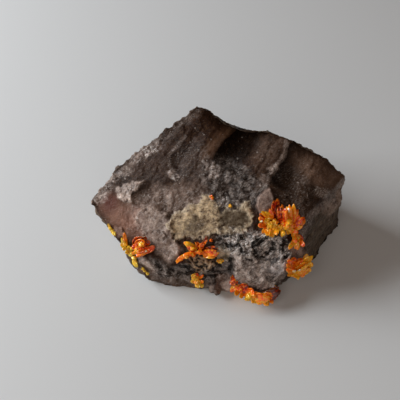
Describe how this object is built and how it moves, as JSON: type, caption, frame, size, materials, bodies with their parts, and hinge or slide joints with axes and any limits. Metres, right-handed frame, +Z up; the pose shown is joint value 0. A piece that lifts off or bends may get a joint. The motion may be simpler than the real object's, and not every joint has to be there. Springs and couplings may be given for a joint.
{
  "type": "mineral specimen",
  "caption": "Hand specimen of smoky barite that rests on a flat base, with bladed orpiment crystal groups on its sloping front.",
  "frame": {"origin": "on the plane of the flat base, under the middle of the block", "axes": "+Z up off the base, +X to the right of the show side along the block's longest side, +Y away from the viewer"},
  "size_m": [0.0565, 0.0422, 0.023],
  "materials": {
    "smoky_barite": "dark smoky brown, vitreous on its cleavage faces and rough where broken",
    "orpiment_rosette": "deep orange bladed crystals with a resinous shine",
    "orpiment_right_cluster": "amber orange bladed crystals with a resinous shine",
    "orpiment_front_bar": "red-orange to golden bladed crystals, resinous",
    "orpiment_star": "brown-gold bladed crystals, resinous",
    "orpiment_left_bud": "red-orange bladed crystals, resinous",
    "orpiment_left_vein": "dull yellow fine crystals",
    "orpiment_front_knot": "golden yellow fine crystals",
    "orpiment_grain": "yellow fine crystal",
    "orpiment_edge_strip": "pale yellow fine crystals"
  },
  "bodies": {
    "root": {"barite_block": "smoky_barite", "orpiment_rosette": "orpiment_rosette", "orpiment_right_cluster": "orpiment_right_cluster", "orpiment_front_bar": "orpiment_front_bar", "orpiment_star": "orpiment_star", "orpiment_left_bud": "orpiment_left_bud", "orpiment_left_vein": "orpiment_left_vein", "orpiment_front_knot": "orpiment_front_knot", "orpiment_grain": "orpiment_grain", "orpiment_edge_strip": "orpiment_edge_strip"}
  },
  "joints": []
}
